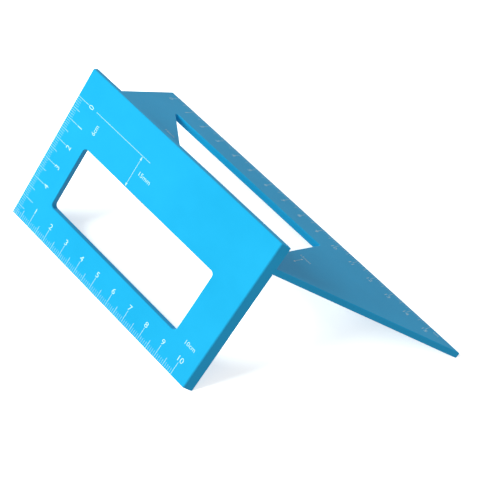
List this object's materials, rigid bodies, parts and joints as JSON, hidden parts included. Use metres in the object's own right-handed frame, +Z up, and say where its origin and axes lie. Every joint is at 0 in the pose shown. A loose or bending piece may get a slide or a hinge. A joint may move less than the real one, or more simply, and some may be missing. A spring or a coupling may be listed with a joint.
{
  "type": "speed square",
  "caption": "Mitred aluminium marking-out square: two plates at a right angle, each with a window and engraved centimetre scales.",
  "frame": {"origin": "on the ground, under the middle of the whole square's box, with the square standing on its two scale edges", "axes": "+X along the corner from the square end to the mitred tip, +Y from the face plate's side to the mitre plate's side, +Z up"},
  "size_m": [0.1704, 0.0884, 0.0532],
  "materials": {
    "anodised_blue": "satin blue anodised",
    "scale_marks": "pale laser-etched marks"
  },
  "bodies": {
    "root": {"face_plate": "anodised_blue", "mitre_plate": "anodised_blue"}
  },
  "joints": []
}
